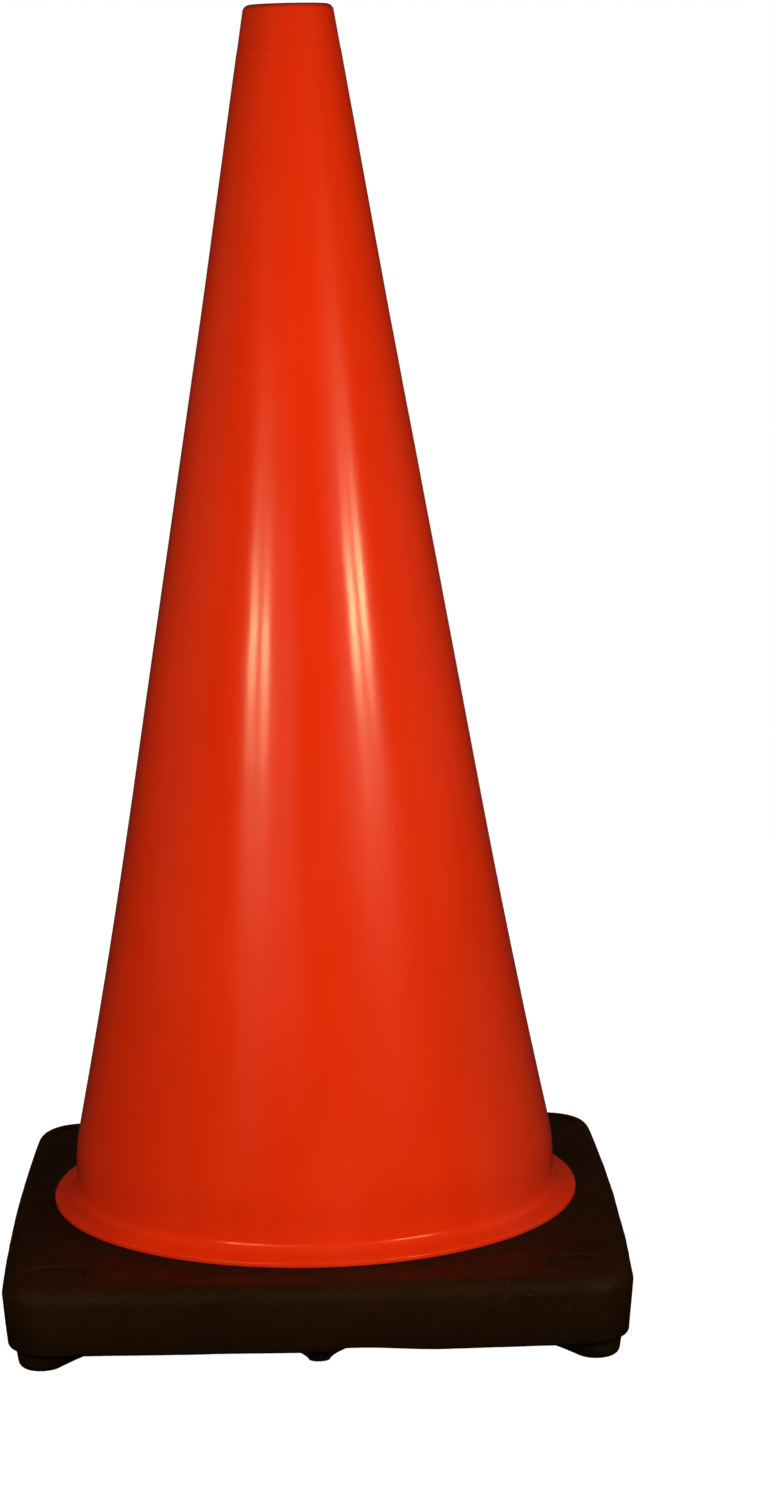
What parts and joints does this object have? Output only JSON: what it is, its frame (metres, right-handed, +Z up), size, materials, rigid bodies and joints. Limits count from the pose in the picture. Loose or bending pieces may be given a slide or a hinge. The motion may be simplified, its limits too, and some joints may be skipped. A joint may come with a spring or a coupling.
{
  "type": "traffic cone",
  "caption": "Tall hollow orange safety cone with an open tip and a flared lip, locked by hidden tabs into a square black weighted base that stands on moulded feet.",
  "frame": {"origin": "on the floor, at the cone's axis: the middle of the square on which the corner feet stand", "axes": "+Z up along the cone's axis towards the tip; X and Y parallel to the base's sides"},
  "size_m": [0.3396, 0.3396, 0.711],
  "materials": {
    "orange_pvc": "satin",
    "black_recycled_rubber": "matte"
  },
  "bodies": {
    "root": {"cone_sleeve": "orange_pvc", "weighted_base": "black_recycled_rubber"}
  },
  "joints": []
}
